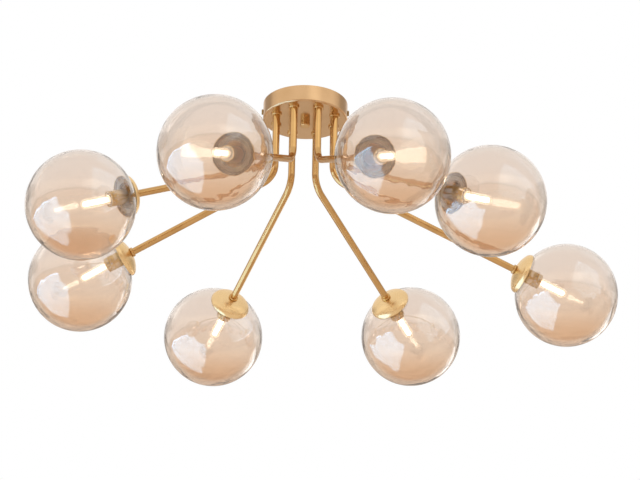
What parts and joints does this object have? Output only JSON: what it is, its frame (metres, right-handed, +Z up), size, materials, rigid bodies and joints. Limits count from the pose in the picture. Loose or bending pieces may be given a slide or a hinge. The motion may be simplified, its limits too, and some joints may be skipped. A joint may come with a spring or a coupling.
{
  "type": "ceiling light",
  "caption": "Semi-flush ceiling light: a round gold pan carries bent tube arms that swivel, each ending in a domed cap, a vented lampholder with a capsule bulb and a clear glass globe.",
  "frame": {"origin": "middle of the ceiling bracket's slot pattern, on the ceiling plane", "axes": "+Z up into the ceiling, +X along the bracket to the right as pictured, -Y towards the picture's viewer"},
  "size_m": [0.8553, 0.7738, 0.3144],
  "materials": {
    "satin_gold": "satin gold plating",
    "spun_gold": "spun, satin gold plating",
    "lampholder_gold": "plated vented sleeve",
    "champagne_glass": "clear champagne lustre",
    "lit_capsule": "frosted, lit",
    "silicone": "translucent silicone",
    "zinc_steel": "zinc plated",
    "plain_brass": "bare",
    "white_nylon": "moulded",
    "lead_insulation": "extruded"
  },
  "bodies": {
    "ceiling_pan": {"canopy": "satin_gold", "stem_collars": "satin_gold", "stem_washers": "zinc_steel", "hex_nuts": "zinc_steel", "centre_nipple": "zinc_steel", "cap_nut": "satin_gold", "ceiling_bracket": "zinc_steel", "side_screws": "satin_gold", "terminal_block": "white_nylon", "terminal_screws": "zinc_steel", "earth_stud": "plain_brass", "leads": "lead_insulation"},
    "arm_1": {"arm_tube_1": "satin_gold", "cap_1": "spun_gold", "lampholder_1": "lampholder_gold"},
    "gasket_1": {"gasket_1": "silicone"},
    "globe_1": {"globe_1": "champagne_glass"},
    "bulb_1": {"bulb_1": "lit_capsule"},
    "arm_2": {"arm_tube_2": "satin_gold", "cap_2": "spun_gold", "lampholder_2": "lampholder_gold"},
    "gasket_2": {"gasket_2": "silicone"},
    "globe_2": {"globe_2": "champagne_glass"},
    "bulb_2": {"bulb_2": "lit_capsule"},
    "arm_3": {"arm_tube_3": "satin_gold", "cap_3": "spun_gold", "lampholder_3": "lampholder_gold"},
    "gasket_3": {"gasket_3": "silicone"},
    "globe_3": {"globe_3": "champagne_glass"},
    "bulb_3": {"bulb_3": "lit_capsule"},
    "arm_4": {"arm_tube_4": "satin_gold", "cap_4": "spun_gold", "lampholder_4": "lampholder_gold"},
    "gasket_4": {"gasket_4": "silicone"},
    "globe_4": {"globe_4": "champagne_glass"},
    "bulb_4": {"bulb_4": "lit_capsule"},
    "arm_5": {"arm_tube_5": "satin_gold", "cap_5": "spun_gold", "lampholder_5": "lampholder_gold"},
    "gasket_5": {"gasket_5": "silicone"},
    "globe_5": {"globe_5": "champagne_glass"},
    "bulb_5": {"bulb_5": "lit_capsule"},
    "arm_6": {"arm_tube_6": "satin_gold", "cap_6": "spun_gold", "lampholder_6": "lampholder_gold"},
    "gasket_6": {"gasket_6": "silicone"},
    "globe_6": {"globe_6": "champagne_glass"},
    "bulb_6": {"bulb_6": "lit_capsule"},
    "arm_7": {"arm_tube_7": "satin_gold", "cap_7": "spun_gold", "lampholder_7": "lampholder_gold"},
    "gasket_7": {"gasket_7": "silicone"},
    "globe_7": {"globe_7": "champagne_glass"},
    "bulb_7": {"bulb_7": "lit_capsule"},
    "arm_8": {"arm_tube_8": "satin_gold", "cap_8": "spun_gold", "lampholder_8": "lampholder_gold"},
    "gasket_8": {"gasket_8": "silicone"},
    "globe_8": {"globe_8": "champagne_glass"},
    "bulb_8": {"bulb_8": "lit_capsule"}
  },
  "joints": [
    {"name": "arm_swivel_1", "type": "hinge", "parent": "ceiling_pan", "child": "arm_1", "pos_m": [-0.01587, -0.04222, -0.025], "axis": [0, 0, 1], "range_deg": [-9, 7]},
    {"name": "gasket_slide_1", "type": "slide", "parent": "arm_1", "child": "gasket_1", "axis": [-0.3031, -0.8608, -0.4089], "range_m": [0, 0.0045]},
    {"name": "globe_unscrew_1", "type": "hinge", "parent": "gasket_1", "child": "globe_1", "pos_m": [-0.11253, -0.31669, -0.2394], "axis": [-0.3031, -0.8608, -0.4089], "range_deg": [0, 1080]},
    {"name": "bulb_pull_1", "type": "slide", "parent": "arm_1", "child": "bulb_1", "axis": [-0.3031, -0.8608, -0.4089], "range_m": [0, 0.014]},
    {"name": "arm_swivel_2", "type": "hinge", "parent": "ceiling_pan", "child": "arm_2", "pos_m": [0.01863, -0.04107, -0.025], "axis": [0, 0, 1], "range_deg": [-7, 3]},
    {"name": "gasket_slide_2", "type": "slide", "parent": "arm_2", "child": "gasket_2", "axis": [0.3046, -0.8602, -0.4089], "range_m": [0, 0.0045]},
    {"name": "globe_unscrew_2", "type": "hinge", "parent": "gasket_2", "child": "globe_2", "pos_m": [0.11577, -0.31538, -0.2394], "axis": [0.3046, -0.8602, -0.4089], "range_deg": [0, 1080]},
    {"name": "bulb_pull_2", "type": "slide", "parent": "arm_2", "child": "bulb_2", "axis": [0.3046, -0.8602, -0.4089], "range_m": [0, 0.014]},
    {"name": "arm_swivel_3", "type": "hinge", "parent": "ceiling_pan", "child": "arm_3", "pos_m": [0.04222, -0.01587, -0.025], "axis": [0, 0, 1], "range_deg": [-3, 18]},
    {"name": "gasket_slide_3", "type": "slide", "parent": "arm_3", "child": "gasket_3", "axis": [0.6968, -0.5703, -0.4349], "range_m": [0, 0.0045]},
    {"name": "globe_unscrew_3", "type": "hinge", "parent": "gasket_3", "child": "globe_3", "pos_m": [0.25115, -0.18688, -0.2394], "axis": [0.6968, -0.5703, -0.4349], "range_deg": [0, 1080]},
    {"name": "bulb_pull_3", "type": "slide", "parent": "arm_3", "child": "bulb_3", "axis": [0.6968, -0.5703, -0.4349], "range_m": [0, 0.014]},
    {"name": "arm_swivel_4", "type": "hinge", "parent": "ceiling_pan", "child": "arm_4", "pos_m": [0.04107, 0.01863, -0.025], "axis": [0, 0, 1], "range_deg": [-18, 11]},
    {"name": "gasket_slide_4", "type": "slide", "parent": "arm_4", "child": "gasket_4", "axis": [0.8974, 0.2795, -0.3414], "range_m": [0, 0.0045]},
    {"name": "globe_unscrew_4", "type": "hinge", "parent": "gasket_4", "child": "globe_4", "pos_m": [0.38383, 0.12539, -0.2394], "axis": [0.8974, 0.2795, -0.3414], "range_deg": [0, 1080]},
    {"name": "bulb_pull_4", "type": "slide", "parent": "arm_4", "child": "bulb_4", "axis": [0.8974, 0.2795, -0.3414], "range_m": [0, 0.014]},
    {"name": "arm_swivel_5", "type": "hinge", "parent": "ceiling_pan", "child": "arm_5", "pos_m": [0.01587, 0.04222, -0.025], "axis": [0, 0, 1], "range_deg": [-11, 15]},
    {"name": "gasket_slide_5", "type": "slide", "parent": "arm_5", "child": "gasket_5", "axis": [0.4659, 0.7847, -0.4089], "range_m": [0, 0.0045]},
    {"name": "globe_unscrew_5", "type": "hinge", "parent": "gasket_5", "child": "globe_5", "pos_m": [0.16444, 0.29243, -0.2394], "axis": [0.4659, 0.7847, -0.4089], "range_deg": [0, 1080]},
    {"name": "bulb_pull_5", "type": "slide", "parent": "arm_5", "child": "bulb_5", "axis": [0.4659, 0.7847, -0.4089], "range_m": [0, 0.014]},
    {"name": "arm_swivel_6", "type": "hinge", "parent": "ceiling_pan", "child": "arm_6", "pos_m": [-0.01863, 0.04107, -0.025], "axis": [0, 0, 1], "range_deg": [-15, 12]},
    {"name": "gasket_slide_6", "type": "slide", "parent": "arm_6", "child": "gasket_6", "axis": [-0.3697, 0.8343, -0.4089], "range_m": [0, 0.0045]},
    {"name": "globe_unscrew_6", "type": "hinge", "parent": "gasket_6", "child": "globe_6", "pos_m": [-0.13653, 0.30712, -0.2394], "axis": [-0.3697, 0.8343, -0.4089], "range_deg": [0, 1080]},
    {"name": "bulb_pull_6", "type": "slide", "parent": "arm_6", "child": "bulb_6", "axis": [-0.3697, 0.8343, -0.4089], "range_m": [0, 0.014]},
    {"name": "arm_swivel_7", "type": "hinge", "parent": "ceiling_pan", "child": "arm_7", "pos_m": [-0.04222, 0.01587, -0.025], "axis": [0, 0, 1], "range_deg": [-12, 9]},
    {"name": "gasket_slide_7", "type": "slide", "parent": "arm_7", "child": "gasket_7", "axis": [-0.8759, 0.2561, -0.4089], "range_m": [0, 0.0045]},
    {"name": "globe_unscrew_7", "type": "hinge", "parent": "gasket_7", "child": "globe_7", "pos_m": [-0.32152, 0.09754, -0.2394], "axis": [-0.8759, 0.2561, -0.4089], "range_deg": [0, 1080]},
    {"name": "bulb_pull_7", "type": "slide", "parent": "arm_7", "child": "bulb_7", "axis": [-0.8759, 0.2561, -0.4089], "range_m": [0, 0.014]},
    {"name": "arm_swivel_8", "type": "hinge", "parent": "ceiling_pan", "child": "arm_8", "pos_m": [-0.04107, -0.01863, -0.025], "axis": [0, 0, 1], "range_deg": [-9, 9]},
    {"name": "gasket_slide_8", "type": "slide", "parent": "arm_8", "child": "gasket_8", "axis": [-0.8087, -0.4228, -0.4089], "range_m": [0, 0.0045]},
    {"name": "globe_unscrew_8", "type": "hinge", "parent": "gasket_8", "child": "globe_8", "pos_m": [-0.29896, -0.15345, -0.2394], "axis": [-0.8087, -0.4228, -0.4089], "range_deg": [0, 1080]},
    {"name": "bulb_pull_8", "type": "slide", "parent": "arm_8", "child": "bulb_8", "axis": [-0.8087, -0.4228, -0.4089], "range_m": [0, 0.014]}
  ],
  "couplings": [
    {"joint": "gasket_slide_1", "follows": "globe_unscrew_1", "m_per_rad": 0.00023873},
    {"joint": "gasket_slide_2", "follows": "globe_unscrew_2", "m_per_rad": 0.00023873},
    {"joint": "gasket_slide_3", "follows": "globe_unscrew_3", "m_per_rad": 0.00023873},
    {"joint": "gasket_slide_4", "follows": "globe_unscrew_4", "m_per_rad": 0.00023873},
    {"joint": "gasket_slide_5", "follows": "globe_unscrew_5", "m_per_rad": 0.00023873},
    {"joint": "gasket_slide_6", "follows": "globe_unscrew_6", "m_per_rad": 0.00023873},
    {"joint": "gasket_slide_7", "follows": "globe_unscrew_7", "m_per_rad": 0.00023873},
    {"joint": "gasket_slide_8", "follows": "globe_unscrew_8", "m_per_rad": 0.00023873}
  ]
}
